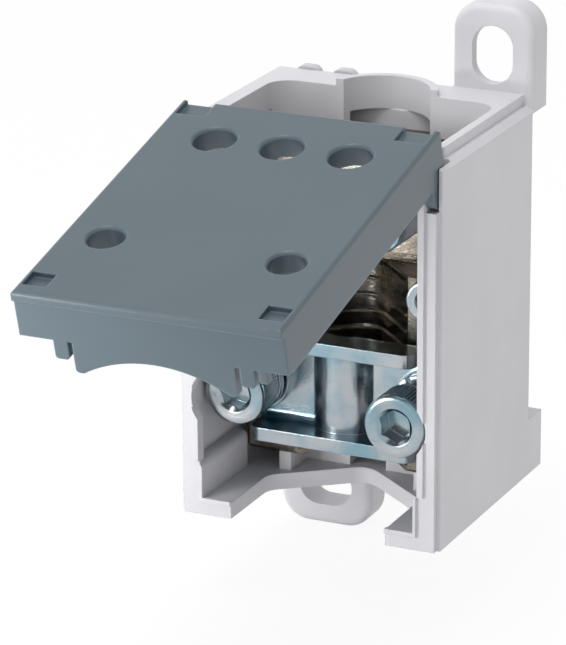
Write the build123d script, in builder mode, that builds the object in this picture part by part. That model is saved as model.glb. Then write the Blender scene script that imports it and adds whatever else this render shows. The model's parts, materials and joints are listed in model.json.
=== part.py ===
"""Single-pole power distribution block, modelled in millimetres.

A moulded box, open at the front, holds a plated brass terminal body. The incoming conductor comes up
through the arch in the floor and is pressed into a serrated bed by a pressed-steel saddle with two cap
screws. Three outgoing conductors drop in from the top and are held by three grub screws. A hinged lid
covers the front. It is modelled open, as it stands while the screws are being tightened.

Frame: +X right seen from the front, +Z up, the front faces -Y. The origin is on the mounting plane,
in the middle of the box's width and midway in height between the two fixing slots.
"""
import os
from math import cos, radians, sin

from build123d import *

os.makedirs("parts", exist_ok=True)

# How far a cut runs past the face it opens
past = 1.0

# Housing
body_w = 56.0
body_h = 78.5
body_d = 47.6
standoff = 7.2
side_wall = 2.4
back_wall = 2.0
floor_wall = 3.4
top_wall = 5.6
lip_wall = 4.3
lip_depth = 2.6
head_clear = 0.4
rim_rise = 2.2
rim_inset = 2.0
rim_inset_left = 0.4
rim_bevel = 1.2

# Stepped front edge of the side walls
rebate_w = 3.0
rebate_d = 0.6
foot_lip = 0.6
skin_w = 0.75
skin_setback = 1.25

# Top recess with its three conductor ways
recess_wall = 3.8
recess_back = 8.5
recess_corner_r = 5.0
recess_skirt_h = 8.6
recess_skirt_wall = 1.6
way_r = 10.0
way_wall = 1.8
collar_wall = 1.6
collar_rise = 1.4

# Cable gap in the floor, pointed towards the bed of the terminal body
gap_side = 11.2
gap_d = 17.8
gap_reach = 30.8
gap_tip_r = 4.5
gap_corner_r = 4.0

# Rails along the foot of the side walls, and the ledges under the terminal body
foot_rail_h = 7.9
foot_rail_w = 2.7
foot_rail_back = 0.6
foot_rail_r = 1.6
ledge_back = 8.4
notch_half_w = 4.0
ledge_w = 9.6
rib_w = 2.6
rib_back = 0.4
catch_h = 0.3
catch_d = 1.0

# Fixing ears and feet
slot_w = 8.7
slot_len = 12.0
slot_margin = 4.4
slot_pitch = 97.8
ear_plate = 2.2
ear_corner_r = 6.0
ear_edge_r = 1.6
ear_overlap = 1.5
foot_h = 12.0
foot_w = 6.0

# Lid and its hinge
lid_side_gap = 0.9
lid_len = 73.0
lid_plate = 2.0
lid_thick = 10.3
lid_end_thick = 9.8
lid_skirt = 1.7
lid_rim = 0.8
lid_edge_r = 0.7
lid_corner_r = 5.0
lid_open = 75.8
lid_face_out = 12.25
lid_top_v = 3.3
hinge_back = 2.4
hinge_down = 7.9
pin_r = 1.5
pin_fit = 0.08
pin_short = 0.3
knuckle_r = 2.8
cheek_wall = 1.5
arm_gap = 0.2
hinge_slot_d = 7.4
cheek_back = 1.6
cheek_foot = 2.0
knuckle_gap = 0.6

# Lid openings and tongues
upper_hole_r = 4.2
lower_hole_r = 3.6
hole_edge = 0.5
sleeve_wall = 1.3
sleeve_depth = 4.5
hinge_pocket_w = 6.3
end_pocket_w = 4.9
pocket_len = 4.6
hinge_pocket_len = 5.6
end_pocket_in = 2.9
pocket_edge = 0.9
pocket_depth = 1.2
panel_fit = 0.4
panel_reach = 16.2
panel_mid_reach = 12.0
panel_foot_w = 1.6
peg_w = 2.9
peg_gap = 0.9
peg_reach = 13.7
tab_w = 1.6
tab_reach = 12.4
tongue_r = 0.7

# Terminal body
term_side_gap = 2.2
term_front = 21.6
term_bottom = 7.3
term_top_gap = 0.6
term_edge = 0.6
step_low = 48.5
step_high = 53.2
step_d = 9.0
bed_half_w = 12.4
bed_r = 6.0
middle_bore_r = 7.5
side_bore_r = 4.8
side_way_edge = 1.0
middle_bore_len = 15.5
side_bore_len = {"left": 14.5, "right": 14.0}
bore_mouth = 0.8

# Saddle
saddle_plate = 2.8
saddle_gap = 0.6
flange_short = 5.5
flange_reach = 7.4
saddle_h = 22.6
hump_r = 6.9
bend_r = 1.6
flange_corner_r = 2.4
hump_back = 2.4

# Clamp screws, M8 with hexagon socket, and their washers
clamp_edge = 5.0
clamp_z = 24.7
clamp_r = 4.0
clamp_head_r = 6.5
clamp_head_h = 8.0
clamp_head_edge = 0.7
clamp_socket = 6.0
clamp_socket_d = 4.2
clamp_len = 25.0
clamp_hole_r = 4.4
clamp_bore_end = 2.0
clamp_out = {"left": 0.6, "right": 5.0}
spring_washer_h = 2.6
spring_washer_r = 6.4
flat_washer_h = 1.6
flat_washer_r = 6.9
washer_bore_r = 4.25
washer_split = 1.2

# Outgoing grub screws, M8
grub_pitch = 14.2
grub_down = 8.5
grub_r = 4.0
grub_len = 22.0
grub_front = 4.0
grub_edge = 0.6
grub_socket = 4.0
grub_socket_d = 4.0
thread_fit = 0.05

# Terminal fixing screws, M5, with their washers and inserts
fixing_edge = 5.1
fixing_z = 45.5
fixing_r = 2.5
fixing_head_r = 4.25
fixing_head_h = 5.0
fixing_head_edge = 0.4
fixing_socket = 4.0
fixing_socket_d = 2.8
fixing_end_gap = 1.0
fixing_fit = 0.25
fixing_seat_d = 1.2
fixing_seat_edge = 0.4
lock_washer_h = 1.2
lock_washer_r = 4.1
insert_r = 3.5
insert_len = 6.0
boss_r = 4.4
boss_len = 7.0
boss_fit = 0.2
insert_past = 1.0

# Latch for a 35 mm top-hat rail
rail_height = 35.0
rail_low = 15.8
hook_thick = 2.0
hook_gap = 1.5
hook_bite = 1.8
hook_base = 3.2
hook_half_w = 8.0
latch_x = -17.5
latch_w = 13.0
latch_thick = 2.2
latch_travel = 3.0
latch_top = 78.9
prong_w = 5.0
prong_h = 2.4
prong_r = 1.6
nose_edge = 1.0
guide_w = 1.8
guide_lip = 1.2
guide_low = 56.5
guide_high = 75.5
latch_fit = 0.2
window_w = 4.4
window_low = 60.0
window_high = 72.0
spring_r = 1.2
spring_wire_r = 0.25
spring_pitch = 2.2
stop_h = 1.6

# Places worked out from the sizes
half_w = body_w / 2
base_z = -body_h / 2
crown_z = body_h / 2
rim_z = crown_z + rim_rise
cavity_top_z = rim_z - top_wall
back_y = -standoff
front_y = back_y - body_d
cavity_back_y = back_y - back_wall
floor_z = base_z + floor_wall
gap_half_w = half_w - gap_side
panel_half_w = gap_half_w - panel_fit
way_y = back_y - way_wall - way_r
side_way_y = back_y - recess_back - side_bore_r - side_way_edge
hinge_y = front_y + hinge_back
hinge_z = rim_z - hinge_down
hinge_slot_z = hinge_z - knuckle_r - knuckle_gap
lid_half_w = half_w - lid_side_gap
lid_end_v = lid_top_v - lid_len
lid_edge_h = lid_face_out - lid_thick
lid_under_h = lid_face_out - lid_plate
slot_in_x = half_w - lip_wall + cheek_wall
arm_in_x = slot_in_x + arm_gap
arm_out_x = half_w - skin_w - arm_gap
term_half_w = half_w - side_wall - term_side_gap
term_d = body_d - back_wall - term_front
term_front_y = front_y + term_front
term_low_z = base_z + term_bottom
recess_skirt_z = rim_z - recess_skirt_h
term_high_z = recess_skirt_z - term_top_gap
ledge_d = term_d - ledge_back
rib_d = term_d - rib_back
flange_half_w = term_half_w - flange_short
clamp_x = term_half_w - clamp_edge
clamp_bore_d = term_d - clamp_bore_end
fixing_x = term_half_w - fixing_edge
fixing_len = term_d - fixing_end_gap
clamp_level = base_z + clamp_z
grub_level = term_high_z - grub_down
fixing_level = base_z + fixing_z
fixing_seat_y = term_front_y + fixing_seat_d
saddle_back_y = term_front_y - saddle_gap
saddle_y = saddle_back_y - saddle_plate
washer_y = saddle_y - flat_washer_h
head_y = washer_y - spring_washer_h
rail_low_z = base_z + rail_low
rail_high_z = rail_low_z + rail_height
sides = {"left": -1, "right": 1}


def across(y):
    """Plane facing the viewer at a depth: sketches read as a front view and extrude to the front."""
    return Plane.XZ.offset(-y)


def level(z):
    """Level plane at a height: sketches read as a view from above and extrude upwards."""
    return Plane.XY.offset(z)


def sideways(x):
    """Upright plane facing +X: sketches run along Y and Z."""
    return Plane.YZ.offset(x)


def frame_rect(x0, x1, y0, y1, mode=Mode.ADD):
    """Rectangle given by its four sides, in the sketch that is open."""
    with Locations(((x0 + x1) / 2, (y0 + y1) / 2)):
        Rectangle(abs(x1 - x0), abs(y1 - y0), mode=mode)


# Housing: one moulding with its ears, feet, hinge cheeks, rails, ledges and rail clip
with BuildPart() as housing:
    with BuildSketch(across(back_y)):
        Rectangle(body_w, body_h)
        frame_rect(-half_w + rim_inset_left, half_w - rim_inset, 0, rim_z)
    extrude(amount=body_d)
    shoulders = housing.edges().filter_by(Axis.Y).filter_by_position(Axis.Z, crown_z, crown_z)
    chamfer(shoulders.group_by(Axis.X)[-1], rim_bevel)

    # Space inside, with a thicker lip round the mouth
    with BuildSketch(across(cavity_back_y)):
        frame_rect(-half_w + side_wall, half_w - side_wall, floor_z, cavity_top_z)
    extrude(amount=body_d - back_wall - lip_depth, mode=Mode.SUBTRACT)
    with BuildSketch(across(front_y + lip_depth)):
        frame_rect(-half_w + lip_wall, half_w - lip_wall, floor_z, cavity_top_z)
    extrude(amount=lip_depth, mode=Mode.SUBTRACT)

    # Recess in the top wall: two shallow ways beside a deep round one
    with BuildSketch(level(cavity_top_z)):
        frame_rect(-half_w + recess_wall, half_w - recess_wall, front_y - past, back_y - recess_back)
        fillet(vertices().group_by(Axis.Y)[-1], recess_corner_r)
        with Locations((0, way_y)):
            Circle(way_r)
    extrude(amount=top_wall + past, mode=Mode.SUBTRACT)

    # Walls behind the two shallow ways, down to just above the terminal body
    skirt_out_x = half_w - side_wall
    with BuildSketch(level(recess_skirt_z)):
        frame_rect(-skirt_out_x, skirt_out_x, way_y, back_y - recess_back + recess_skirt_wall)
        with BuildSketch(mode=Mode.SUBTRACT):
            frame_rect(-half_w + recess_wall, half_w - recess_wall, way_y - way_r, back_y - recess_back)
            fillet(vertices().group_by(Axis.Y)[-1], recess_corner_r)
        with Locations((0, way_y)):
            Circle(way_r, mode=Mode.SUBTRACT)
    extrude(amount=recess_skirt_h - top_wall)

    # Collar round the back of the deep way
    with BuildSketch(level(cavity_top_z)):
        with Locations((0, way_y)):
            Circle(way_r + collar_wall)
            Circle(way_r, mode=Mode.SUBTRACT)
        frame_rect(-half_w, half_w, way_y - 2 * way_r, back_y - recess_back, mode=Mode.SUBTRACT)
    extrude(amount=top_wall + collar_rise)

    # Ledges that carry the terminal body, with a longer rib beside each
    ledge_end = notch_half_w + ledge_w
    with BuildSketch(across(cavity_back_y)):
        for side in sides.values():
            frame_rect(side * notch_half_w, side * ledge_end, base_z, term_low_z)
    extrude(amount=ledge_d)
    with BuildSketch(across(cavity_back_y)):
        for side in sides.values():
            frame_rect(side * ledge_end, side * (ledge_end + rib_w), base_z, term_low_z)
    extrude(amount=rib_d)

    # Cable gap through the floor
    with BuildSketch(level(base_z)):
        with BuildLine():
            Polyline((-gap_half_w, front_y - past), (-gap_half_w, front_y + gap_d),
                     (0, front_y + gap_reach), (gap_half_w, front_y + gap_d),
                     (gap_half_w, front_y - past), (-gap_half_w, front_y - past))
        make_face()
        fillet(vertices().group_by(Axis.Y)[-1], gap_tip_r)
        fillet(vertices().filter_by_position(Axis.Y, front_y + gap_d, front_y + gap_d), gap_corner_r)
    extrude(amount=floor_wall, mode=Mode.SUBTRACT)

    # Rails along the foot of each side wall, and the low ridge in front that the lid's pegs pass over
    rail_in_x = half_w - side_wall - foot_rail_w
    with BuildSketch(across(term_front_y - foot_rail_back)):
        for side in sides.values():
            frame_rect(side * (half_w - side_wall), side * rail_in_x, floor_z, floor_z + foot_rail_h)
        rail_tops = vertices().group_by(Axis.Y)[-1]
        fillet(rail_tops.filter_by_position(Axis.X, -rail_in_x, rail_in_x), foot_rail_r)
    extrude(amount=term_front - foot_rail_back)
    with BuildSketch(level(floor_z)):
        for side in sides.values():
            frame_rect(side * gap_half_w, side * rail_in_x, front_y, front_y + catch_d)
    extrude(amount=catch_h)

    # Round notches in the lips that let the heads of the clamp screws out
    with BuildSketch(across(front_y + lip_depth)):
        for side in sides.values():
            with Locations((side * clamp_x, clamp_level)):
                Circle(clamp_head_r + head_clear)
    extrude(amount=lip_depth, mode=Mode.SUBTRACT)

    # Hinge cheeks: a slot for each arm between an inner cheek and the outer skin
    with BuildSketch(across(front_y + hinge_slot_d + cheek_back)):
        for side in sides.values():
            frame_rect(side * (half_w - lip_wall), side * (half_w - rim_inset),
                       hinge_slot_z - cheek_foot, cavity_top_z)
    extrude(amount=hinge_slot_d + cheek_back - rebate_d)
    with BuildSketch(across(front_y + hinge_slot_d)):
        for side in sides.values():
            frame_rect(side * slot_in_x, side * (half_w - skin_w), hinge_slot_z, rim_z)
    extrude(amount=hinge_slot_d, mode=Mode.SUBTRACT)

    # Rebates in the front edge of the side walls and feet
    with BuildSketch(across(front_y + rebate_d)):
        for side in sides.values():
            frame_rect(side * (half_w - rebate_w), side * half_w, base_z, rim_z)
            frame_rect(side * (rail_in_x + foot_lip), side * half_w, base_z, floor_z + foot_rail_h)
            frame_rect(side * gap_half_w, side * half_w, base_z, floor_z - foot_lip)
    extrude(amount=rebate_d, mode=Mode.SUBTRACT)
    with BuildSketch(across(front_y + rebate_d + skin_setback)):
        for side in sides.values():
            frame_rect(side * (half_w - skin_w), side * half_w, base_z, rim_z)
    extrude(amount=skin_setback, mode=Mode.SUBTRACT)

    # Pivot holes through both cheeks
    with BuildSketch(sideways(-slot_in_x)):
        with Locations((hinge_y, hinge_z)):
            Circle(pin_r + pin_fit)
    extrude(amount=2 * slot_in_x, mode=Mode.SUBTRACT)

    # Feet behind the side walls, down at the mounting plane
    with BuildSketch(across(0)):
        for side in sides.values():
            frame_rect(side * (half_w - foot_w), side * half_w, base_z, base_z + foot_h)
    extrude(amount=standoff)

    # Upper ear: a shell, open at the back, flush with the right side
    upper_ear_w = slot_w + 2 * slot_margin
    upper_ear_x = half_w - upper_ear_w / 2
    ear_reach = slot_pitch / 2 + slot_len / 2 + slot_margin
    with BuildSketch(across(0)):
        frame_rect(half_w - upper_ear_w, half_w, crown_z - ear_overlap, ear_reach)
        fillet(vertices().group_by(Axis.Y)[-1], ear_corner_r)
    extrude(amount=standoff)
    with BuildSketch(across(0)):
        frame_rect(half_w - upper_ear_w + ear_plate, half_w - ear_plate,
                   rim_z, ear_reach - ear_plate)
        fillet(vertices().group_by(Axis.Y)[-1], ear_corner_r - ear_plate)
    extrude(amount=standoff - ear_plate, mode=Mode.SUBTRACT)
    with BuildSketch(across(0)):
        with Locations((upper_ear_x, slot_pitch / 2)):
            SlotOverall(slot_len, slot_w, rotation=90)
    extrude(amount=standoff, mode=Mode.SUBTRACT)

    # Lower ear: solid, flush with the left side, its slot turned a quarter
    lower_ear_w = slot_len + 2 * slot_margin
    lower_ear_x = -half_w + lower_ear_w / 2
    lower_reach = slot_pitch / 2 + slot_w / 2 + slot_margin
    with BuildSketch(across(0)):
        frame_rect(-half_w, -half_w + lower_ear_w, -lower_reach, base_z + ear_overlap)
        fillet(vertices().group_by(Axis.Y)[0], ear_corner_r)
    extrude(amount=standoff)
    with BuildSketch(across(0)):
        with Locations((lower_ear_x, -slot_pitch / 2)):
            SlotOverall(slot_len, slot_w)
    extrude(amount=standoff, mode=Mode.SUBTRACT)
    ear_fronts = housing.faces().filter_by(Axis.Y).filter_by_position(Axis.Y, back_y, back_y)
    upper_rim = ear_fronts.sort_by(Axis.Z)[-1].outer_wire().edges()
    fillet(upper_rim.filter_by_position(Axis.Z, rim_z + past, ear_reach), ear_edge_r)
    lower_rim = ear_fronts.sort_by(Axis.Z)[0].outer_wire().edges()
    fillet(lower_rim.filter_by_position(Axis.Z, -lower_reach, base_z - past), ear_edge_r)

    # Bosses for the threaded inserts behind the terminal body
    with BuildSketch(across(cavity_back_y)):
        for side in sides.values():
            with Locations((side * fixing_x, fixing_level)):
                Circle(boss_r)
    extrude(amount=boss_len)
    with BuildSketch(across(cavity_back_y - boss_len)):
        for side in sides.values():
            with Locations((side * fixing_x, fixing_level)):
                Circle(insert_r)
    extrude(amount=-insert_len - insert_past, mode=Mode.SUBTRACT)

    # Fixed hook under the mounting rail
    hook_out = back_y + hook_gap + hook_thick
    with BuildSketch(sideways(-hook_half_w)):
        frame_rect(back_y, hook_out, rail_low_z - hook_base, rail_low_z)
        frame_rect(hook_out - hook_thick, hook_out, rail_low_z, rail_low_z + hook_bite)
    extrude(amount=2 * hook_half_w)

    # Guides for the sliding latch, and the stop for its spring
    lip_y = back_y + latch_thick + 2 * latch_fit
    with BuildSketch(level(base_z + guide_low)):
        for side in sides.values():
            guide_in = latch_x + side * (latch_w / 2 + latch_fit)
            guide_out = guide_in + side * guide_w
            frame_rect(guide_in, guide_out, back_y, lip_y + guide_w)
            frame_rect(guide_in - side * guide_lip, guide_out, lip_y, lip_y + guide_w)
    extrude(amount=guide_high - guide_low)
    with BuildSketch(across(back_y + latch_thick + latch_fit)):
        frame_rect(latch_x - window_w / 2 + latch_fit, latch_x + window_w / 2 - latch_fit,
                   base_z + window_high - latch_fit - stop_h, base_z + window_high - latch_fit)
    extrude(amount=latch_thick + latch_fit)
housing.part.label = "housing"
export_step(housing.part, "parts/housing.step")

# Lid frame at the hinge: x across, y up along the closed lid, z out of its face
open_angle = radians(lid_open)
lid_plane = Plane(origin=(0, hinge_y, hinge_z), x_dir=(1, 0, 0),
                  z_dir=(0, -cos(open_angle), sin(open_angle)))
lid_up = lid_plane.y_dir


def lid_end_plane(v):
    """Plane across the lid at a place along it: sketches run across it and out of its face."""
    origin = lid_plane.from_local_coords(Vector(0, v, 0))
    return Plane(origin=origin, x_dir=(1, 0, 0), z_dir=-lid_up)


def lid_side_plane(x):
    """Plane along the lid's side: sketches run along it and out of its face."""
    return Plane(origin=(x, hinge_y, hinge_z), x_dir=lid_up, z_dir=(1, 0, 0))


# Lid: one moulding with its skirts, screw sleeves, hinge arms, pegs and tongues
with BuildPart() as lid:
    skirt_end_v = lid_end_v + lid_rim
    with BuildSketch(lid_plane.offset(lid_edge_h)):
        frame_rect(-lid_half_w, lid_half_w, skirt_end_v, lid_top_v)
    extrude(amount=lid_thick - lid_plate)
    with BuildSketch(lid_plane.offset(lid_edge_h)):
        frame_rect(-lid_half_w + lid_skirt, lid_half_w - lid_skirt, skirt_end_v + lid_skirt, lid_top_v)
    extrude(amount=lid_thick - lid_plate, mode=Mode.SUBTRACT)
    with BuildSketch(lid_plane.offset(lid_edge_h)):
        frame_rect(-lid_half_w, lid_half_w, lid_end_v, skirt_end_v + lid_skirt)
    extrude(amount=lid_thick - lid_end_thick, mode=Mode.SUBTRACT)
    with BuildSketch(lid_side_plane(-lid_half_w)):
        frame_rect(lid_top_v - lid_corner_r, lid_top_v, lid_edge_h, lid_edge_h + lid_corner_r)
        with Locations((lid_top_v - lid_corner_r, lid_edge_h + lid_corner_r)):
            Circle(lid_corner_r, mode=Mode.SUBTRACT)
    extrude(amount=2 * lid_half_w, mode=Mode.SUBTRACT)
    with BuildSketch(lid_plane.offset(lid_under_h)):
        frame_rect(-lid_half_w, lid_half_w, lid_end_v, lid_top_v)
    extrude(amount=lid_plate)
    face_rim = lid.faces().sort_by(Axis(lid_plane.origin, lid_plane.z_dir))[-1].edges()
    fillet(face_rim, lid_edge_r)

    # Sleeves and holes in line with the screws behind
    upper_v = grub_level - hinge_z
    lower_v = clamp_level - hinge_z
    hole_spots = [(grub_pitch * n, upper_v, upper_hole_r) for n in (-1, 0, 1)]
    hole_spots += [(side * clamp_x, lower_v, lower_hole_r) for side in sides.values()]
    for hole_x, hole_v, hole_r in hole_spots:
        with BuildSketch(lid_plane.offset(lid_face_out - sleeve_depth)):
            with Locations((hole_x, hole_v)):
                Circle(hole_r + sleeve_wall)
        extrude(amount=sleeve_depth - lid_plate / 2)
    for hole_x, hole_v, hole_r in hole_spots:
        with BuildSketch(lid_plane.offset(lid_face_out - sleeve_depth)):
            with Locations((hole_x, hole_v)):
                Circle(hole_r)
        extrude(amount=sleeve_depth, mode=Mode.SUBTRACT)

    hole_rims = lid.edges().filter_by(GeomType.CIRCLE).sort_by(Axis(lid_plane.origin, lid_plane.z_dir))
    chamfer(hole_rims[-len(hole_spots):], hole_edge)

    # Shallow pockets in the four corners of the face
    with BuildSketch(lid_plane.offset(lid_face_out - pocket_depth)):
        for side in sides.values():
            outer = side * (lid_half_w - pocket_edge)
            frame_rect(outer, outer - side * hinge_pocket_w, lid_top_v - hinge_pocket_len, lid_top_v + past)
            frame_rect(outer, outer - side * end_pocket_w,
                       lid_end_v + end_pocket_in, lid_end_v + end_pocket_in + pocket_len)
    extrude(amount=pocket_depth, mode=Mode.SUBTRACT)

    # Arched panel over the cable gap, with the pegs and tongues beside it
    skirt_low_h = lid_face_out - lid_end_thick
    panel_low_h = lid_face_out - panel_reach
    span = panel_half_w - panel_foot_w
    with BuildSketch(lid_end_plane(skirt_end_v)):
        frame_rect(-panel_half_w, panel_half_w, panel_low_h, skirt_low_h)
        fillet(vertices().group_by(Axis.Y)[0], panel_foot_w / 2)
        with BuildLine():
            ThreePointArc((-span, panel_low_h), (0, lid_face_out - panel_mid_reach), (span, panel_low_h))
            Line((span, panel_low_h), (-span, panel_low_h))
        make_face(mode=Mode.SUBTRACT)
    extrude(amount=-lid_skirt)
    with BuildSketch(lid_end_plane(skirt_end_v)):
        for side in sides.values():
            peg_in = side * (panel_half_w + peg_gap)
            frame_rect(peg_in, peg_in + side * peg_w, lid_face_out - peg_reach, skirt_low_h + tongue_r)
        fillet(vertices().group_by(Axis.Y)[0], tongue_r)
        tab_x = panel_half_w + peg_gap + peg_w + peg_gap
        frame_rect(tab_x, tab_x + tab_w, lid_face_out - tab_reach, skirt_low_h + tongue_r)
    extrude(amount=-lid_skirt)

    # Arms that run into the hinge slots, with their pivot pins
    for side in sides.values():
        arm_x = arm_in_x if side > 0 else -arm_out_x
        with BuildSketch(lid_side_plane(arm_x)):
            Circle(knuckle_r)
            frame_rect(-knuckle_r, knuckle_r, 0, lid_edge_h + lid_corner_r)
        extrude(amount=arm_out_x - arm_in_x)
        pin_x = arm_in_x - arm_gap - cheek_wall + pin_short
        with BuildSketch(lid_side_plane(side * pin_x)):
            Circle(pin_r)
        extrude(amount=side * (arm_in_x - pin_x))
lid.part.label = "lid"
export_step(lid.part, "parts/lid.step")


# Terminal body: plated brass, with a bed for the conductor below and three bores above
with BuildPart() as terminal_body:
    with BuildSketch(level(term_low_z)):
        frame_rect(-term_half_w, term_half_w, term_front_y, cavity_back_y)
    extrude(amount=term_high_z - term_low_z)
    chamfer(terminal_body.edges(), term_edge)

    # Step between the clamp and the outgoing bores
    with BuildSketch(sideways(-term_half_w)):
        frame_rect(term_front_y, term_front_y + step_d, base_z + step_low, base_z + step_high)
    extrude(amount=2 * term_half_w, mode=Mode.SUBTRACT)

    # Bed for the incoming conductor: a wide groove with a rounded floor
    with BuildSketch(level(term_low_z)):
        with BuildLine():
            Polyline((-bed_half_w, term_front_y), (0, term_front_y + bed_half_w),
                     (bed_half_w, term_front_y), (-bed_half_w, term_front_y))
        make_face()
        fillet(vertices().group_by(Axis.Y)[-1], bed_r)
    extrude(amount=step_low - term_bottom, mode=Mode.SUBTRACT)

    # Outgoing bores from the top, and the threaded holes for their grub screws
    bores = [(0, way_y, middle_bore_r, middle_bore_len)]
    bores += [(side * grub_pitch, side_way_y, side_bore_r, side_bore_len[name])
              for name, side in sides.items()]
    for bore_x, bore_y, bore_r, bore_len in bores:
        with BuildSketch(level(term_high_z - bore_len)):
            with Locations((bore_x, bore_y)):
                Circle(bore_r)
        extrude(amount=bore_len, mode=Mode.SUBTRACT)
    mouths = terminal_body.faces().filter_by(Axis.Z).sort_by(Axis.Z)[-1].inner_wires().edges()
    chamfer(mouths, bore_mouth)
    with BuildSketch(across(side_way_y)):
        for n in (-1, 0, 1):
            with Locations((n * grub_pitch, grub_level)):
                Circle(grub_r + thread_fit)
    extrude(amount=side_way_y - term_front_y, mode=Mode.SUBTRACT)

    # Threaded holes for the clamp screws, and the ways and seats for the fixing screws and bosses
    with BuildSketch(across(term_front_y + clamp_bore_d)):
        for side in sides.values():
            with Locations((side * clamp_x, clamp_level)):
                Circle(clamp_r + thread_fit)
    extrude(amount=clamp_bore_d, mode=Mode.SUBTRACT)
    with BuildSketch(across(cavity_back_y)):
        for side in sides.values():
            with Locations((side * fixing_x, fixing_level)):
                Circle(fixing_r + fixing_fit)
    extrude(amount=cavity_back_y - term_front_y, mode=Mode.SUBTRACT)
    with BuildSketch(across(fixing_seat_y)):
        for side in sides.values():
            with Locations((side * fixing_x, fixing_level)):
                Circle(fixing_head_r + fixing_seat_edge)
    extrude(amount=fixing_seat_y - term_front_y, mode=Mode.SUBTRACT)
    with BuildSketch(across(cavity_back_y)):
        for side in sides.values():
            with Locations((side * fixing_x, fixing_level)):
                Circle(boss_r + boss_fit)
    extrude(amount=boss_len + boss_fit, mode=Mode.SUBTRACT)
terminal_body.part.label = "terminal_body"
export_step(terminal_body.part, "parts/terminal_body.step")

# Saddle: pressed steel channel with a round hump over the conductor
with BuildPart() as clamp_saddle:
    low_z = clamp_level - saddle_h / 2
    high_z = clamp_level + saddle_h / 2
    with BuildSketch(sideways(-flange_half_w)):
        frame_rect(saddle_y - flange_reach, saddle_back_y, low_z, high_z)
        fillet(vertices().group_by(Axis.X)[-1], bend_r + saddle_plate)
    extrude(amount=2 * flange_half_w)
    with BuildSketch(sideways(-flange_half_w)):
        frame_rect(saddle_y - flange_reach - past, saddle_y, low_z + saddle_plate, high_z - saddle_plate)
        fillet(vertices().group_by(Axis.X)[-1], bend_r)
    extrude(amount=2 * flange_half_w, mode=Mode.SUBTRACT)
    fillet(clamp_saddle.edges().filter_by(Axis.Z).group_by(Axis.Y)[0], flange_corner_r)
    web_half_h = saddle_h / 2 - saddle_plate - bend_r
    with BuildSketch(across(saddle_back_y)):
        frame_rect(-term_half_w, term_half_w, clamp_level - web_half_h, clamp_level + web_half_h)
        fillet(vertices(), saddle_plate)
    extrude(amount=saddle_plate)
    hump_y = saddle_y + hump_back
    with BuildSketch(level(low_z + saddle_plate / 2)):
        with Locations((0, hump_y)):
            Circle(hump_r)
        frame_rect(-hump_r, hump_r, saddle_back_y, saddle_back_y + hump_r, mode=Mode.SUBTRACT)
    extrude(amount=saddle_h - saddle_plate)
    with BuildSketch(level(low_z)):
        with Locations((0, hump_y)):
            Circle(hump_r - saddle_plate)
        frame_rect(-hump_r + saddle_plate, hump_r - saddle_plate, hump_y, saddle_back_y)
    extrude(amount=saddle_h, mode=Mode.SUBTRACT)
    with BuildSketch(across(saddle_back_y)):
        for side in sides.values():
            with Locations((side * clamp_x, clamp_level)):
                Circle(clamp_hole_r)
    extrude(amount=saddle_plate, mode=Mode.SUBTRACT)
clamp_saddle.part.label = "clamp_saddle"
export_step(clamp_saddle.part, "parts/clamp_saddle.step")


def socket_screw(x, z, seat_y, head_r, head_h, edge, shank_r, shank_len, socket, socket_d):
    """Cap screw along Y: its head stands in front of the seat and its shank runs back."""
    with BuildPart() as screw:
        with BuildSketch(across(seat_y)):
            with Locations((x, z)):
                Circle(head_r)
        extrude(amount=head_h)
        chamfer(screw.edges().group_by(Axis.Y)[0], edge)
        with BuildSketch(across(seat_y - head_h + socket_d)):
            with Locations((x, z)):
                RegularPolygon(socket / 2, 6, major_radius=False)
        extrude(amount=socket_d, mode=Mode.SUBTRACT)
        with BuildSketch(across(seat_y)):
            with Locations((x, z)):
                Circle(shank_r)
        extrude(amount=-shank_len)
        chamfer(screw.edges().group_by(Axis.Y)[-1], edge)
    return screw.part


def ring_washer(x, z, seat_y, thick, outer_r, bore_r, split=0):
    """Washer in front of a seat, with a slanting split if one is given."""
    with BuildPart() as washer:
        with BuildSketch(across(seat_y)):
            with Locations((x, z)):
                Circle(outer_r)
                Circle(bore_r, mode=Mode.SUBTRACT)
            if split:
                frame_rect(x - split / 2, x + split / 2, z, z + outer_r + past, mode=Mode.SUBTRACT)
        extrude(amount=thick)
    return washer.part


def save(part, name):
    """Label a finished piece and write it out."""
    part.label = name
    export_step(part, f"parts/{name}.step")


# Clamp screws with a flat and a spring washer each, the left one nearly home and the right one backed out
for name, side in sides.items():
    seat_y = head_y - clamp_out[name]
    save(socket_screw(side * clamp_x, clamp_level, seat_y, clamp_head_r, clamp_head_h, clamp_head_edge,
                      clamp_r, clamp_len, clamp_socket, clamp_socket_d), f"clamp_screw_{name}")
    save(ring_washer(side * clamp_x, clamp_level, saddle_y, flat_washer_h, flat_washer_r, washer_bore_r),
         f"clamp_flat_washer_{name}")
    save(ring_washer(side * clamp_x, clamp_level, washer_y, spring_washer_h, spring_washer_r,
                     washer_bore_r, washer_split), f"clamp_spring_washer_{name}")

# Terminal fixing screws with lock washers, and the threaded inserts they run into
for name, side in sides.items():
    spot = (side * fixing_x, fixing_level)
    save(socket_screw(*spot, fixing_seat_y - lock_washer_h, fixing_head_r, fixing_head_h, fixing_head_edge,
                      fixing_r, fixing_len, fixing_socket, fixing_socket_d), f"terminal_fixing_screw_{name}")
    save(ring_washer(*spot, fixing_seat_y, lock_washer_h, lock_washer_r, fixing_r + fixing_fit, washer_split),
         f"terminal_lock_washer_{name}")
    save(ring_washer(*spot, cavity_back_y - boss_len + insert_len, insert_len, insert_r,
                     fixing_r + thread_fit), f"threaded_insert_{name}")

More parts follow.
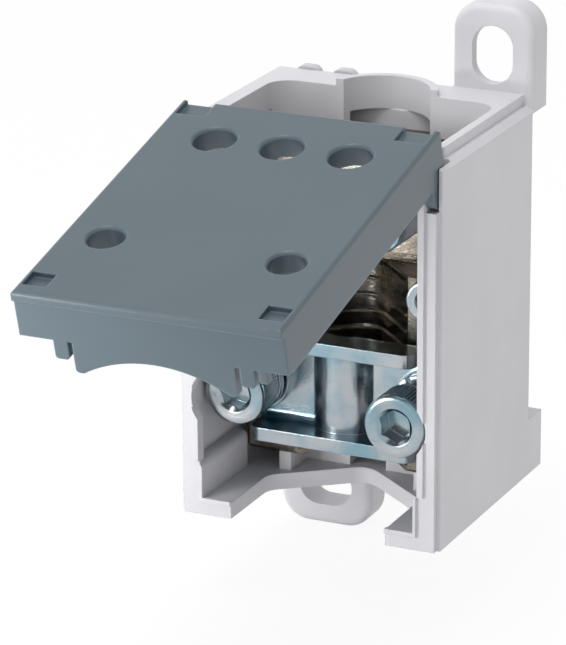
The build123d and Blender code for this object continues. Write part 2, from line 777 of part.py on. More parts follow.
# Grub screws over the three outgoing bores
for name, n in {"left": -1, "middle": 0, "right": 1}.items():
    with BuildPart() as grub:
        with BuildSketch(across(front_y + grub_front + grub_len)):
            with Locations((n * grub_pitch, grub_level)):
                Circle(grub_r)
        extrude(amount=grub_len)
        chamfer(grub.edges(), grub_edge)
        with BuildSketch(across(front_y + grub_front + grub_socket_d)):
            with Locations((n * grub_pitch, grub_level)):
                RegularPolygon(grub_socket / 2, 6, major_radius=False)
        extrude(amount=grub_socket_d, mode=Mode.SUBTRACT)
    save(grub.part, f"outgoing_screw_{name}")

# Latch: slides up behind the housing to let go of the mounting rail
with BuildPart() as rail_latch:
    latch_y = back_y + latch_fit
    latch_foot_z = rail_high_z + latch_fit
    with BuildSketch(across(latch_y + latch_thick)):
        frame_rect(latch_x - latch_w / 2, latch_x + latch_w / 2, latch_foot_z, base_z + latch_top)
        for side in sides.values():
            prong_out = latch_x + side * latch_w / 2
            frame_rect(prong_out, prong_out - side * prong_w,
                       base_z + latch_top, base_z + latch_top + prong_h)
        fillet(vertices().group_by(Axis.Y)[-1], prong_r)
        frame_rect(latch_x - window_w / 2, latch_x + window_w / 2,
                   base_z + window_low, base_z + window_high, mode=Mode.SUBTRACT)
    extrude(amount=latch_thick)
    nose_y = back_y + hook_gap
    nose_top_z = base_z + guide_low - latch_travel - latch_fit
    with BuildSketch(sideways(latch_x - latch_w / 2)):
        frame_rect(nose_y, nose_y + hook_thick, rail_high_z - hook_bite, nose_top_z)
        chamfer(vertices().group_by(Axis.Y)[0].sort_by(Axis.X)[-1], nose_edge)
    extrude(amount=latch_w)
rail_latch.part.label = "rail_latch"
export_step(rail_latch.part, "parts/rail_latch.step")

# Spring that holds the latch down, between the housing's stop and the foot of the latch's window
with BuildPart() as latch_spring:
    spring_low = base_z + window_low + spring_wire_r
    spring_high = base_z + window_high - latch_fit - stop_h - spring_wire_r
    spring_y = back_y + latch_fit + spring_r + spring_wire_r
    with BuildLine():
        coil = Helix(pitch=spring_pitch, height=spring_high - spring_low, radius=spring_r,
                     center=(latch_x, spring_y, spring_low))
    with BuildSketch(Plane(origin=coil @ 0, z_dir=coil % 0)):
        Circle(spring_wire_r)
    sweep(path=coil, is_frenet=True)
latch_spring.part.label = "latch_spring"
export_step(latch_spring.part, "parts/latch_spring.step")
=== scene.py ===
# %% [markdown]
# # Dressing a power distribution block
# The solids of this part come from a CAD program: a moulded box with a hinged lid, a plated
# terminal body, a pressed saddle with two cap screws, three grub screws and a rail latch. This
# lesson gives them finishes, adds the small forms that CAD leaves plain, and sets up a camera and
# soft light.

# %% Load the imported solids
import json
from math import cos, pi, radians, sin, sqrt, tau

import bmesh
import bpy
from mathutils import Matrix, Vector


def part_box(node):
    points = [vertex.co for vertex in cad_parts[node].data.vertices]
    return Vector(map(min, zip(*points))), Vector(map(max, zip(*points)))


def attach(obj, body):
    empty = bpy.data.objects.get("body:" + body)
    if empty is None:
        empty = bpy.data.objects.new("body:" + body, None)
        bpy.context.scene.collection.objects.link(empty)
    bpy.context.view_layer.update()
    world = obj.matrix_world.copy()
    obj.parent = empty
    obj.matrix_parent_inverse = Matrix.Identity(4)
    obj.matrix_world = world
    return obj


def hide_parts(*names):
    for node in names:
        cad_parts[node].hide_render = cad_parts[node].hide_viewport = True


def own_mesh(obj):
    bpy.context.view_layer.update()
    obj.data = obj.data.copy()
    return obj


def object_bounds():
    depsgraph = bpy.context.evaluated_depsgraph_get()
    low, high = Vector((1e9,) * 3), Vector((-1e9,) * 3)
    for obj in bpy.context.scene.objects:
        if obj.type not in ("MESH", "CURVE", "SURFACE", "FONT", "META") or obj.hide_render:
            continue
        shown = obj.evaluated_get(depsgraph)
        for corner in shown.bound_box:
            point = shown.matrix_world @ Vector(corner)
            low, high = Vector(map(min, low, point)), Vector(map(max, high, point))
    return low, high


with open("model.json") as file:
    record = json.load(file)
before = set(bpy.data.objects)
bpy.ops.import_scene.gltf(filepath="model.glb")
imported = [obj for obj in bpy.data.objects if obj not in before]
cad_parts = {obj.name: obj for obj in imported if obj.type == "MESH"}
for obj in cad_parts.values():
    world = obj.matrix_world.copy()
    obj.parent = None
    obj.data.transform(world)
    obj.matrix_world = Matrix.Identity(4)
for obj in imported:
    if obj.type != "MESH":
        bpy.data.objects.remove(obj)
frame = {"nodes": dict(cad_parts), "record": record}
mm = 0.001
cad_box = [list(corner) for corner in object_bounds()]
bpy.ops.object.select_all(action="DESELECT")
print("box in millimetres:", [[round(v / mm, 1) for v in corner] for corner in cad_box])

# %% [markdown]
# ## Camera
# The photograph looks from the front right and a little above, with a long lens. Corners, holes
# and screw heads of the solids were matched to the picture, which gave this place, turn and lens.
# The angles are in radians: the azimuth is measured from the front towards the right.

# %% Camera at the photograph's place
view_azimuth = 0.4421
view_elevation = 0.3312
view_roll = -0.0065
camera_place = Vector((311.47, -722.88, 258.32)) * mm
lens_mm = 223.73
sensor_mm = 36
nearest_seen = 50 * mm

to_camera = Vector((sin(view_azimuth) * cos(view_elevation),
                    -cos(view_azimuth) * cos(view_elevation),
                    sin(view_elevation)))
level_right = Vector((cos(view_azimuth), sin(view_azimuth), 0))
level_up = to_camera.cross(level_right)
right = cos(view_roll) * level_right + sin(view_roll) * level_up
up = cos(view_roll) * level_up - sin(view_roll) * level_right
camera_data = bpy.data.cameras.new("camera")
camera_data.lens = lens_mm
camera_data.sensor_width = sensor_mm
camera_data.clip_start = nearest_seen
camera = bpy.data.objects.new("camera", camera_data)
bpy.context.scene.collection.objects.link(camera)
camera_turn = Matrix((right, up, to_camera)).transposed().to_4x4()
camera.matrix_world = Matrix.Translation(camera_place) @ camera_turn
bpy.context.scene.camera = camera
print("camera distance:", round(camera_place.length, 3), "m")

# %% [markdown]
# ## Floor and light
# A studio shot on white needs three things: a pale floor that takes the shadow, a world that fills
# softly and a few lamps. The world is dimmer on the right, so the right side of the box falls off
# to a middle grey. A large lamp above reaches into the recess, a weak one at the front left lifts
# the front faces, and a small one close by brightens the left end of the lid.
#
# Shader nodes are built here with two small helpers. A Graph makes and links nodes, and a Term is
# a node's output that can be added, subtracted and multiplied like a number.

# %% Node helper
class Term:
    """A shader socket that can stand in a Python expression."""

    def __init__(self, graph, socket):
        self.graph = graph
        self.socket = socket

    def __add__(self, other):
        return self.graph.math("ADD", self, other)

    def __sub__(self, other):
        return self.graph.math("SUBTRACT", self, other)

    def __mul__(self, other):
        return self.graph.math("MULTIPLY", self, other)

    def __rsub__(self, other):
        return self.graph.math("SUBTRACT", other, self)

    __radd__ = __add__
    __rmul__ = __mul__


class Graph:
    """The nodes of one material or world."""

    def __init__(self, tree):
        self.tree = tree
        self.tree.nodes.clear()

    def node(self, kind, settings=None, sockets=None, out=0):
        """Add a node, set it up, feed its sockets and return one of its outputs."""
        made = self.tree.nodes.new(kind)
        for name, value in (settings or {}).items():
            setattr(made, name, value)
        for name, value in (sockets or {}).items():
            if isinstance(value, Term):
                self.tree.links.new(value.socket, made.inputs[name])
            else:
                made.inputs[name].default_value = value
        return Term(self, made.outputs[out]) if len(made.outputs) else None

    def math(self, operation, *terms):
        """Work out terms and numbers with one operation."""
        return self.node("ShaderNodeMath", {"operation": operation}, dict(enumerate(terms)))

    def mix(self, amount, low, high):
        """Blend two colours. The node's colour sockets are 6 and 7, and its colour output is 2."""
        sockets = {0: amount, 6: low, 7: high}
        return self.node("ShaderNodeMix", {"data_type": "RGBA"}, sockets, out=2)

    def ramp(self, amount, start, end):
        """Rise smoothly from 0 to 1 between two values."""
        settings = {"interpolation_type": "SMOOTHSTEP"}
        sockets = {"Value": amount, "From Min": start, "From Max": end}
        return self.node("ShaderNodeMapRange", settings, sockets)


print("shader helper ready")

# %% Floor, world and lamps
white = (1, 1, 1, 1)
floor_white = (0.9, 0.9, 0.9, 1)
floor_width = 6
floor_level = cad_box[0][2]
seen_glow = 0.9
bpy.ops.mesh.primitive_plane_add(size=floor_width, location=(0, 0, floor_level))
floor = bpy.context.object
floor.name = "floor"
floor_material = bpy.data.materials.new("pale floor")
floor_material.use_nodes = True
floor.data.materials.append(floor_material)
graph = Graph(floor_material.node_tree)
paint = graph.node("ShaderNodeBsdfDiffuse", None, {"Color": floor_white})
glow = graph.node("ShaderNodeEmission", None, {"Color": white, "Strength": 1.0})
seen = graph.node("ShaderNodeLightPath", out="Is Camera Ray")
glossy = graph.node("ShaderNodeLightPath", out="Is Glossy Ray")
share = (seen + glossy) * seen_glow
shown = graph.node("ShaderNodeMixShader", None, {0: share, 1: paint, 2: glow})
graph.node("ShaderNodeOutputMaterial", None, {"Surface": shown})

world = bpy.data.worlds.new("studio")
bpy.context.scene.world = world
world.use_nodes = True
graph = Graph(world.node_tree)
seen = graph.node("ShaderNodeLightPath", out="Is Camera Ray")
glossy = graph.node("ShaderNodeLightPath", out="Is Glossy Ray")
heading = graph.node("ShaderNodeTexCoord", out="Generated")
across = graph.node("ShaderNodeSeparateXYZ", None, {"Vector": heading}, out="X")
height = graph.node("ShaderNodeSeparateXYZ", None, {"Vector": heading}, out="Z")
world_light = 0.82
dimmer_above = 0.08
dimmer_right = 0.28
mirrored_white = 0.75
soft = world_light - dimmer_above * height - dimmer_right * across
strength = soft + (1 - soft) * (seen + mirrored_white * glossy)
sky = graph.node("ShaderNodeBackground", None, {"Color": white, "Strength": strength})
graph.node("ShaderNodeOutputWorld", None, {"Surface": sky})


def lamp(name, place, target, size, power):
    """Square area lamp that points at a target, in metres and watts."""
    data = bpy.data.lights.new(name, "AREA")
    data.size = size
    data.energy = power
    made = bpy.data.objects.new(name, data)
    bpy.context.scene.collection.objects.link(made)
    place = Vector(place)
    facing = (Vector(target) - place).to_track_quat("-Z", "Y")
    made.matrix_world = Matrix.Translation(place) @ facing.to_matrix().to_4x4()
    made.visible_camera = False


box_middle = (0, -0.03, 0)
lid_end_left = (-0.027, -0.125, 0)
lamp("key", (-0.8, -1.3, 0.25), box_middle, size=0.5, power=1.2)
lamp("top", (-0.1, -0.42, 1.1), box_middle, size=0.5, power=6)
lamp("left glow", (-0.09, -0.2, -0.005), lid_end_left, size=0.05, power=0.12)
bpy.context.scene.view_settings.view_transform = "Standard"

# %% [markdown]
# ## Moulded plastic
# Three plastics make the mouldings: a pale cool grey for the box, a slate grey for the lid and a
# middle grey for the latch. Real mouldings are never quite even. They have a fine spark-eroded
# grain, faint flow clouds, and edges that catch light because no mould corner is sharp. The Bevel
# node rounds the shading at the edges without changing the mesh. Where the rounded and the flat
# direction differ, the edge gets a painted highlight: a paler colour, and a smoother roughness.

# %% Plastic finishes
def new_material(name):
    """Empty material with its graph."""
    made = bpy.data.materials.new(name)
    made.use_nodes = True
    return made, Graph(made.node_tree)


def edge_mask(graph, radius):
    """Rounded direction at the edges, and a mask that is 1 on them."""
    rounded = graph.node("ShaderNodeBevel", {"samples": 6}, {"Radius": radius})
    flat = graph.node("ShaderNodeNewGeometry", out="True Normal")
    alike = graph.node("ShaderNodeVectorMath", {"operation": "DOT_PRODUCT"},
                       {0: rounded, 1: flat}, out="Value")
    return rounded, graph.ramp(1 - alike, 0.01, 0.2)


def finish_surface(graph, sockets, grain, strength, depth, rounded):
    """Bump the surface by its grain and hand it to the material's output."""
    bump = graph.node("ShaderNodeBump", None,
                      {"Strength": strength, "Distance": depth, "Height": grain, "Normal": rounded})
    shader = graph.node("ShaderNodeBsdfPrincipled", None, {**sockets, "Normal": bump})
    graph.node("ShaderNodeOutputMaterial", None, {"Surface": shader})


def plastic(name, colour, edge_highlight_colour, roughness, grain, grain_depth, edge_radius):
    """Moulded plastic with grain, flow clouds, softened edges and a painted highlight on the edges."""
    cloud_shade = 0.95
    edge_highlight_share = 0.55
    made, graph = new_material(name)
    place = graph.node("ShaderNodeTexCoord", out="Object")
    rounded, edges = edge_mask(graph, edge_radius)
    cloud = graph.node("ShaderNodeTexNoise", None, {"Vector": place, "Scale": 60, "Detail": 3})
    fine = graph.node("ShaderNodeTexNoise", None, {"Vector": place, "Scale": grain, "Detail": 2})
    cloud_colour = tuple(channel * cloud_shade for channel in colour[:3]) + (1,)
    body = graph.mix(graph.ramp(cloud, 0.3, 0.7), cloud_colour, colour)
    # Painted highlight: the edges are mixed towards a paler colour.
    tone = graph.mix(edges * edge_highlight_share, body, edge_highlight_colour)
    rough = roughness + 0.10 * (fine - 0.5) - 0.08 * edges
    sockets = {"Base Color": tone, "Roughness": rough, "IOR": 1.5}
    finish_surface(graph, sockets, fine, 0.35, grain_depth, rounded)
    return made


# Each plastic's edge colour is its painted highlight along the edges.
box_grey = plastic("box plastic", colour=(0.62, 0.615, 0.645, 1),
                   edge_highlight_colour=(0.74, 0.735, 0.77, 1), roughness=0.48, grain=2600,
                   grain_depth=0.04 * mm, edge_radius=0.3 * mm)
lid_grey = plastic("lid plastic", colour=(0.080, 0.112, 0.134, 1),
                   edge_highlight_colour=(0.20, 0.28, 0.33, 1), roughness=0.34, grain=3200,
                   grain_depth=0.02 * mm, edge_radius=0.6 * mm)
latch_grey = plastic("latch plastic", colour=(0.55, 0.55, 0.57, 1),
                     edge_highlight_colour=(0.66, 0.66, 0.68, 1), roughness=0.45, grain=2600,
                     grain_depth=0.04 * mm, edge_radius=0.3 * mm)
print("plastics:", box_grey.name, lid_grey.name, latch_grey.name)

# %% [markdown]
# ## Plated metal
# The saddle and screws are zinc-plated steel with a blue tint that wanders between silver and
# teal. The terminal body is tin-plated brass, warmer, and its colour is darkened as painted shade,
# for the body sits deep in the box under the lid. Both are full metals, so nearly all of their
# look is reflection. Small changes of roughness and a shallow bump break the reflections as the
# real skin does.

# %% Metal finishes
def metal(name, colour, tint, roughness, grain, stretch, grain_depth, edge_radius):
    """Plated metal with a wandering tint and roughness, and a grain that can be stretched."""
    made, graph = new_material(name)
    place = graph.node("ShaderNodeTexCoord", out="Object")
    drawn = graph.node("ShaderNodeVectorMath", {"operation": "MULTIPLY"}, {0: place, 1: stretch})
    rounded, _ = edge_mask(graph, edge_radius)
    patch = graph.node("ShaderNodeTexNoise", None, {"Vector": place, "Scale": 110, "Detail": 4})
    fine = graph.node("ShaderNodeTexNoise", None, {"Vector": drawn, "Scale": grain, "Detail": 3})
    tone = graph.mix(graph.ramp(patch, 0.35, 0.68), colour, tint)
    rough = roughness + 0.16 * (patch - 0.5) + 0.12 * (fine - 0.5)
    sockets = {"Base Color": tone, "Metallic": 1.0, "Roughness": rough}
    finish_surface(graph, sockets, fine, 0.5, grain_depth, rounded)
    return made


zinc = metal("blue zinc", colour=(0.42, 0.45, 0.47, 1), tint=(0.22, 0.34, 0.40, 1), roughness=0.21,
             grain=1800, stretch=(1, 1, 1), grain_depth=0.03 * mm, edge_radius=0.3 * mm)
# The tin's colour and tint are darkened as painted shade, for the body sits deep in the box under the
# lid.
tin = metal("tin on brass", colour=(0.30, 0.27, 0.23, 1), tint=(0.13, 0.115, 0.09, 1), roughness=0.24,
            grain=1300, stretch=(0.8, 1, 1.2), grain_depth=0.09 * mm, edge_radius=0.3 * mm)
brass = metal("turned brass", colour=(0.78, 0.60, 0.30, 1), tint=(0.66, 0.48, 0.22, 1), roughness=0.30,
              grain=2400, stretch=(1, 3, 1), grain_depth=0.02 * mm, edge_radius=0.2 * mm)
print("metals:", zinc.name, tin.name, brass.name)

# %% Give every solid its finish
finishes = {"housing_plastic": box_grey, "lid_plastic": lid_grey, "latch_plastic": latch_grey,
            "zinc_steel": zinc, "plated_brass": tin, "plain_brass": brass}
slot_of = {entry["node"]: entry["material_slot"] for entry in frame["record"]["subparts"]}
for name, node_object in frame["nodes"].items():
    node_object.data.materials.clear()
    node_object.data.materials.append(finishes[slot_of[name]])
print("finished solids:", len(frame["nodes"]))

# %% [markdown]
# ## Modelling tools
# The small pieces below are shaped as by hand: a primitive, some moves in edit mode, a modifier or
# two. A few helpers keep that short. One opens a piece with nothing picked, one picks faces or
# edges by a rule, one applies a modifier, and one turns a finished piece to face forward and
# writes its place into its mesh.

# %% Modelling helpers
def make_active(piece):
    """Select one piece alone."""
    bpy.ops.object.select_all(action="DESELECT")
    piece.select_set(True)
    bpy.context.view_layer.objects.active = piece


def open_edit(piece, level="FACE"):
    """Edit one piece, with nothing picked in it."""
    make_active(piece)
    bpy.ops.object.mode_set(mode="EDIT")
    bpy.ops.mesh.select_mode(type=level)
    bpy.ops.mesh.select_all(action="DESELECT")


def close_edit():
    """Go back to object mode."""
    bpy.ops.object.mode_set(mode="OBJECT")


def pick(piece, kind, rule):
    """Pick the verts, edges or faces that a rule says yes to."""
    mesh = bmesh.from_edit_mesh(piece.data)
    mesh.normal_update()
    for item in getattr(mesh, kind):
        item.select_set(bool(rule(item)))
    mesh.select_flush(True)
    bmesh.update_edit_mesh(piece.data)


def apply_modifier(piece, kind, **settings):
    """Add a modifier, set it up and apply it."""
    bpy.context.view_layer.objects.active = piece
    modifier = piece.modifiers.new(kind.lower(), kind)
    for name, value in settings.items():
        setattr(modifier, name, value)
    bpy.ops.object.modifier_apply(modifier=modifier.name)


def write_place(piece):
    """Put place, turn and scale into the mesh."""
    make_active(piece)
    bpy.ops.object.transform_apply(location=True, rotation=True, scale=True)


def add_cylinder(name, radius, low, high, corners):
    """Upright cylinder between two heights on the Z axis."""
    bpy.ops.mesh.primitive_cylinder_add(vertices=corners, radius=radius, depth=high - low,
                                        location=(0, 0, (low + high) / 2))
    piece = bpy.context.object
    piece.name = name
    write_place(piece)
    return piece


def cut_away(piece, cutter):
    """Take the cutter's shape out of a piece and throw the cutter away."""
    apply_modifier(piece, "BOOLEAN", operation="DIFFERENCE", solver="EXACT", object=cutter)
    bpy.data.objects.remove(cutter)


def face_forward(source, name, x, y, z, turn):
    """Copy a piece with its own mesh, lay its axis from Z to the front and move it to its place."""
    piece = source.copy()
    piece.data = source.data.copy()
    piece.name = name
    bpy.context.scene.collection.objects.link(piece)
    piece.matrix_world = (Matrix.Translation((x, y, z)) @ Matrix.Rotation(pi / 2, 4, "X")
                          @ Matrix.Rotation(turn, 4, "Z"))
    write_place(piece)
    return piece


def merge_and_turn_out(within):
    """Merge the points of the mesh in edit that meet, and turn its faces outwards."""
    bpy.ops.mesh.select_all(action="SELECT")
    bpy.ops.mesh.remove_doubles(threshold=within)
    bpy.ops.mesh.normals_make_consistent(inside=False)


def fill_ends(piece, sides):
    """Close the open ends of a wound wire, and turn its faces outwards."""
    open_edit(piece, "EDGE")
    bpy.ops.mesh.select_non_manifold()
    bpy.ops.mesh.fill_holes(sides=sides)
    bpy.ops.mesh.select_all(action="SELECT")
    bpy.ops.mesh.normals_make_consistent(inside=False)
    close_edit()


def smooth_sides(piece, degrees):
    """Shade smooth, apart from edges that turn by more than so many degrees."""
    make_active(piece)
    bpy.ops.object.shade_smooth_by_angle(angle=radians(degrees))


print("modelling helpers ready")

# %% [markdown]
# ## A screw thread
# A thread is a tooth carried round a rod while it climbs. The tooth starts as a circle of three
# corners, a triangle, with its base edge deleted. The Screw modifier spins it and lifts it one
# pitch a turn, so each turn joins on to the next. Two bisects trim the rod to length and fill its
# ends.

# %% Threaded rod
# Stands a flat outline up: its X becomes Z, and its Y becomes the distance from the Z axis
flat_to_radius = Matrix(((0, 1, 0, 0), (0, 0, 1, 0), (1, 0, 0, 0), (0, 0, 0, 1)))


def threaded_rod(name, radius, low, high, pitch, depth):
    """Rod along Z with a V thread, wound a little too long at both ends and then trimmed."""
    steps_a_turn = 24
    bpy.ops.mesh.primitive_circle_add(vertices=3, radius=1)
    rod = bpy.context.object
    rod.name = name
    open_edit(rod, "EDGE")
    pick(rod, "verts", lambda vert: True)
    bpy.ops.transform.resize(value=(pitch / sqrt(3), depth / 1.5, 1))
    bpy.ops.mesh.select_all(action="DESELECT")
    nearly_level = depth / 10
    pick(rod, "edges", lambda edge: abs(edge.verts[0].co.y - edge.verts[1].co.y) < nearly_level)
    bpy.ops.mesh.delete(type="EDGE")
    close_edit()
    crest = max(vert.co.y for vert in rod.data.vertices)
    start = Vector((radius - crest, 0, low - 1.5 * pitch))
    rod.matrix_world = Matrix.Translation(start) @ flat_to_radius
    write_place(rod)
    turns = int((high - low) / pitch) + 4
    apply_modifier(rod, "SCREW", angle=tau, screw_offset=pitch, iterations=turns, steps=steps_a_turn,
                   render_steps=steps_a_turn, use_merge_vertices=True, merge_threshold=0.01 * mm)
    for level, side in ((low, -1), (high, 1)):
        open_edit(rod)
        bpy.ops.mesh.select_all(action="SELECT")
        bpy.ops.mesh.bisect(plane_co=(0, 0, level), plane_no=(0, 0, side), use_fill=True,
                            clear_outer=True)
        close_edit()
    open_edit(rod)
    merge_and_turn_out(within=0.005 * mm)
    close_edit()
    return rod


def hexagon_cutter(across, low, high):
    """Six-sided prism for a socket."""
    return add_cylinder("cutter", across / sqrt(3), low, high, 6)


print("thread helper ready")

# %% [markdown]
# ## Cap screws
# The clamp and fixing screws are cap screws with a hexagon socket: a head with a rounded bright
# rim, fine straight knurling down its side, and a socket with a small countersink. Real heads are
# stamped with grade marks, which are left bare here. The knurling is one inset of the side faces,
# each by itself and a little inwards.

# %% Cap screw
def cap_screw(name, head_r, head_h, rim, ribs, socket, socket_depth, shank_r, length, pitch):
    """Cap screw along Z with its seat at zero and its head above."""
    near = 0.01 * head_h
    thread_share = 0.55
    head = add_cylinder(name, head_r, 0, head_h, ribs)
    open_edit(head, "EDGE")
    pick(head, "edges", lambda edge: min(vert.co.z for vert in edge.verts) > head_h - near)
    bpy.ops.mesh.bevel(offset=rim, segments=4, profile=0.6)
    bpy.ops.mesh.select_all(action="DESELECT")
    pick(head, "edges", lambda edge: max(vert.co.z for vert in edge.verts) < near)
    bpy.ops.mesh.bevel(offset=rim * 0.4, segments=1)
    bpy.ops.mesh.select_mode(type="FACE")
    bpy.ops.mesh.select_all(action="DESELECT")
    pick(head, "faces", lambda face: abs(face.normal.z) < 0.05)
    rib_gap = head_r * tau / ribs
    bpy.ops.mesh.inset(thickness=rib_gap * 0.2, depth=-rib_gap * 0.28, use_individual=True)
    bpy.ops.mesh.select_all(action="DESELECT")
    pick(head, "faces", lambda face: face.normal.z > 0.99 and len(face.verts) > 8)
    dish = rim * 0.1
    bpy.ops.mesh.inset(thickness=head_r * 0.09, depth=-dish)
    close_edit()
    cut_away(head, hexagon_cutter(socket, head_h - socket_depth, head_h + rim))
    bpy.ops.mesh.primitive_cone_add(vertices=48, radius1=socket / 2, radius2=socket / 2 + 2 * rim,
                                    depth=2 * rim, location=(0, 0, head_h + dish))
    countersink = bpy.context.object
    write_place(countersink)
    cut_away(head, countersink)
    smooth_sides(head, 32)
    into_head = 0.2 * mm
    shank = threaded_rod("shank", shank_r, -length, into_head, pitch, pitch * thread_share)
    smooth_sides(shank, 28)
    bpy.ops.object.select_all(action="DESELECT")
    shank.select_set(True)
    head.select_set(True)
    bpy.context.view_layer.objects.active = head
    bpy.ops.object.join()
    return head


clamp_x = 18.4 * mm
clamp_z = -14.55 * mm
nearly_home = -41.4 * mm
backed_out = -45.8 * mm
clamp_screw = cap_screw("clamp screw", head_r=6.5 * mm, head_h=8 * mm, rim=1.1 * mm, ribs=60,
                        socket=6 * mm, socket_depth=4.2 * mm, shank_r=4 * mm, length=25 * mm,
                        pitch=1.25 * mm)
clamp_left = face_forward(clamp_screw, "clamp_screw_left_dressed", -clamp_x, nearly_home, clamp_z,
                          turn=0.35)
clamp_right = face_forward(clamp_screw, "clamp_screw_right_dressed", clamp_x, backed_out, clamp_z,
                           turn=0.1)
bpy.data.objects.remove(clamp_screw)
print("faces in a clamp screw:", len(clamp_left.data.polygons))

# %% Fixing screws for the terminal body
fixing_x = 18.3 * mm
fixing_seat = -33.2 * mm
fixing_z = 6.25 * mm
fixing_screw = cap_screw("fixing screw", head_r=4.25 * mm, head_h=5 * mm, rim=0.5 * mm, ribs=44,
                         socket=4 * mm, socket_depth=2.8 * mm, shank_r=2.5 * mm, length=23 * mm,
                         pitch=0.8 * mm)
fixing_left = face_forward(fixing_screw, "fixing_screw_left_dressed", -fixing_x, fixing_seat,
                           fixing_z, turn=0.6)
fixing_right = face_forward(fixing_screw, "fixing_screw_right_dressed", fixing_x, fixing_seat,
                            fixing_z, turn=0.25)
bpy.data.objects.remove(fixing_screw)
print("faces in a fixing screw:", len(fixing_left.data.polygons))

# %% [markdown]
# ## Grub screws
# A grub screw is thread from end to end, with a socket in its front. Its thread catches the light
# beside the lid in the photograph. Three copies stand in the terminal body, each with its own mesh
# and its own turn.

# %% Grub screws
grub_pitch = 14.2 * mm
grub_front = -50.8 * mm
grub_z = 23.75 * mm
grub_length = 22 * mm
past = 1 * mm
grub = threaded_rod("grub", radius=4 * mm, low=-grub_length, high=0, pitch=1.25 * mm,
                    depth=0.65 * mm)
cut_away(grub, hexagon_cutter(across=4 * mm, low=-4 * mm, high=past))
smooth_sides(grub, 28)
grubs = {}
for name, place, turn in (("left", -1, 0.4), ("middle", 0, 1.1), ("right", 1, 0.15)):
    grubs[name] = face_forward(grub, f"outgoing_screw_{name}_dressed", place * grub_pitch,
                               grub_front, grub_z, turn)
bpy.data.objects.remove(grub)
print("grub screws:", sorted(grubs))

# %% [markdown]
# ## Spring washers
# A spring washer is one turn of square wire, cut and sprung apart so its ends stand off each
# other. A plane gives the wire's section and the Screw modifier carries it round a little less
# than a full turn.

# %% Spring washers
def spring_washer(name, inner, outer, thick, rise):
    """Square wire turned once round the Z axis, climbing a little."""
    steps = 64
    bpy.ops.mesh.primitive_plane_add(size=1, location=((inner + outer) / 2, 0, thick / 2),
                                     rotation=(pi / 2, 0, 0))
    washer = bpy.context.object
    washer.name = name
    washer.scale = (outer - inner, thick, 1)
    write_place(washer)
    open_edit(washer, "VERT")
    bpy.ops.mesh.select_all(action="SELECT")
    bpy.ops.mesh.bevel(offset=thick * 0.14, segments=2, affect="VERTICES")
    bpy.ops.mesh.delete(type="ONLY_FACE")
    close_edit()
    apply_modifier(washer, "SCREW", angle=radians(346), screw_offset=rise, steps=steps,
                   render_steps=steps, use_merge_vertices=False)
    fill_ends(washer, sides=24)
    smooth_sides(washer, 32)
    return washer


washer_seat = -38.25 * mm
washer = spring_washer("spring washer", inner=4.3 * mm, outer=6.35 * mm, thick=1.9 * mm,
                       rise=0.65 * mm)
spring_left = face_forward(washer, "spring_washer_left_dressed", -clamp_x, washer_seat, clamp_z,
                           turn=0.9)
spring_right = face_forward(washer, "spring_washer_right_dressed", clamp_x, washer_seat, clamp_z,
                            turn=2.2)
bpy.data.objects.remove(washer)
print("faces in a spring washer:", len(spring_left.data.polygons))

# %% [markdown]
# ## Latch spring
# The spring over the rail latch is a round wire wound along its axis: a circle that the Screw
# modifier carries round and up, with both ends filled. It gets shorter when the latch is pulled.

# %% Latch spring
wire_r = 0.25 * mm
coil_r = 1.2 * mm
coil_pitch = 2.2 * mm
coil_low, coil_high = (Vector(corner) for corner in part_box("latch_spring"))
coil_length = coil_high.z - coil_low.z
coil_rise = coil_length - 2 * wire_r
coil_turns = coil_rise / coil_pitch
coil_steps = round(24 * coil_turns)
wire_corners = 12
bpy.ops.mesh.primitive_circle_add(vertices=wire_corners, radius=wire_r, location=(coil_r, 0, 0),
                                  rotation=(pi / 2, 0, 0))
coil = bpy.context.object
coil.name = "latch_spring_coil"
write_place(coil)
apply_modifier(coil, "SCREW", angle=tau * coil_turns, screw_offset=coil_rise, steps=coil_steps,
               render_steps=coil_steps, use_merge_vertices=False)
fill_ends(coil, sides=wire_corners)
smooth_sides(coil, 50)
coil_centre = (coil_low + coil_high) / 2
coil.location = (coil_centre.x, coil_centre.y, coil_low.z + wire_r)
write_place(coil)
print("turns of the spring:", round(coil_turns, 2))

# %% [markdown]
# ## Teeth in the conductor bed
# The bed of the terminal body is cut across with teeth that bite into the conductor. One tooth is
# a triangle pushed along the bed's left flank, spun round its rounded floor and pushed out along
# the right flank. An Array modifier repeats it up the bed.

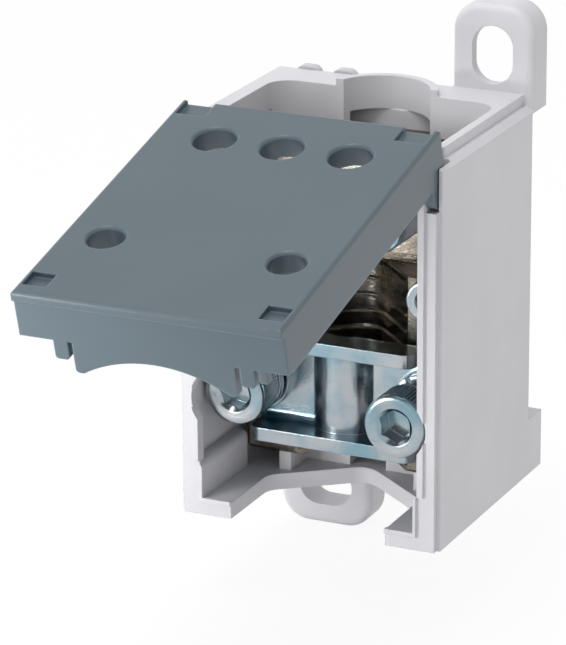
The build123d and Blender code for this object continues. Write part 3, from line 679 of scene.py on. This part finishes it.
# %% Bed teeth
bed_start = Vector((-12, -32.8, -30.4)) * mm
flank = Vector((7.757, 7.757, 0)) * mm
bed_centre = Vector((0, -29.285, 0)) * mm
tooth_pitch = 3.5 * mm
tooth_count = 12
tooth_half_height = 0.9 * mm
tooth_reach = 0.45 * mm
tooth_form = Matrix(((0, tooth_reach, 0, 0), (0, 0, 1, 0), (tooth_half_height, 0, 0, 0),
                     (0, 0, 0, 1)))
bpy.ops.mesh.primitive_circle_add(vertices=3, radius=1, fill_type="NGON")
teeth = bpy.context.object
teeth.name = "bed_teeth"
teeth.matrix_world = Matrix.Translation(bed_start) @ Matrix.Rotation(-pi / 4, 4, "Z") @ tooth_form
write_place(teeth)
open_edit(teeth)
bpy.ops.mesh.select_all(action="SELECT")
bpy.ops.mesh.extrude_region_move(TRANSFORM_OT_translate={"value": flank})
bpy.ops.mesh.spin(steps=12, angle=pi / 2, center=bed_centre, axis=(0, 0, 1))
bpy.ops.mesh.extrude_region_move(TRANSFORM_OT_translate={"value": (flank.x, -flank.y, 0)})
merge_and_turn_out(within=0.01 * mm)
close_edit()
apply_modifier(teeth, "ARRAY", count=tooth_count, use_relative_offset=False, use_constant_offset=True,
               constant_offset_displace=(0, 0, tooth_pitch))
print("teeth size in millimetres:", [round(v / mm, 1) for v in teeth.dimensions])

# %% [markdown]
# ## Tie the pieces to the bodies
# Each new piece rides on the body that its solid belongs to, hides that solid and takes its
# finish. The teeth stand for no solid, and ride on the block.

# %% Say what each piece rides on and stands for
stands_for = {"clamp_screw_left": clamp_left, "clamp_screw_right": clamp_right,
              "terminal_fixing_screw_left": fixing_left, "terminal_fixing_screw_right": fixing_right,
              "clamp_spring_washer_left": spring_left, "clamp_spring_washer_right": spring_right,
              "latch_spring": coil}
stands_for.update({f"outgoing_screw_{name}": piece for name, piece in grubs.items()})
bodies = frame["record"]["behaviour"]["bodies"]
body_of = {node: body for body, nodes in bodies.items() for node in nodes}
for node, piece in stands_for.items():
    piece.data.materials.clear()
    piece.data.materials.append(zinc)
    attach(piece, body_of[node])
    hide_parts(node)
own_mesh(coil)
teeth.data.materials.append(tin)
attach(teeth, "block")
print("pieces that stand for solids:", len(stands_for))
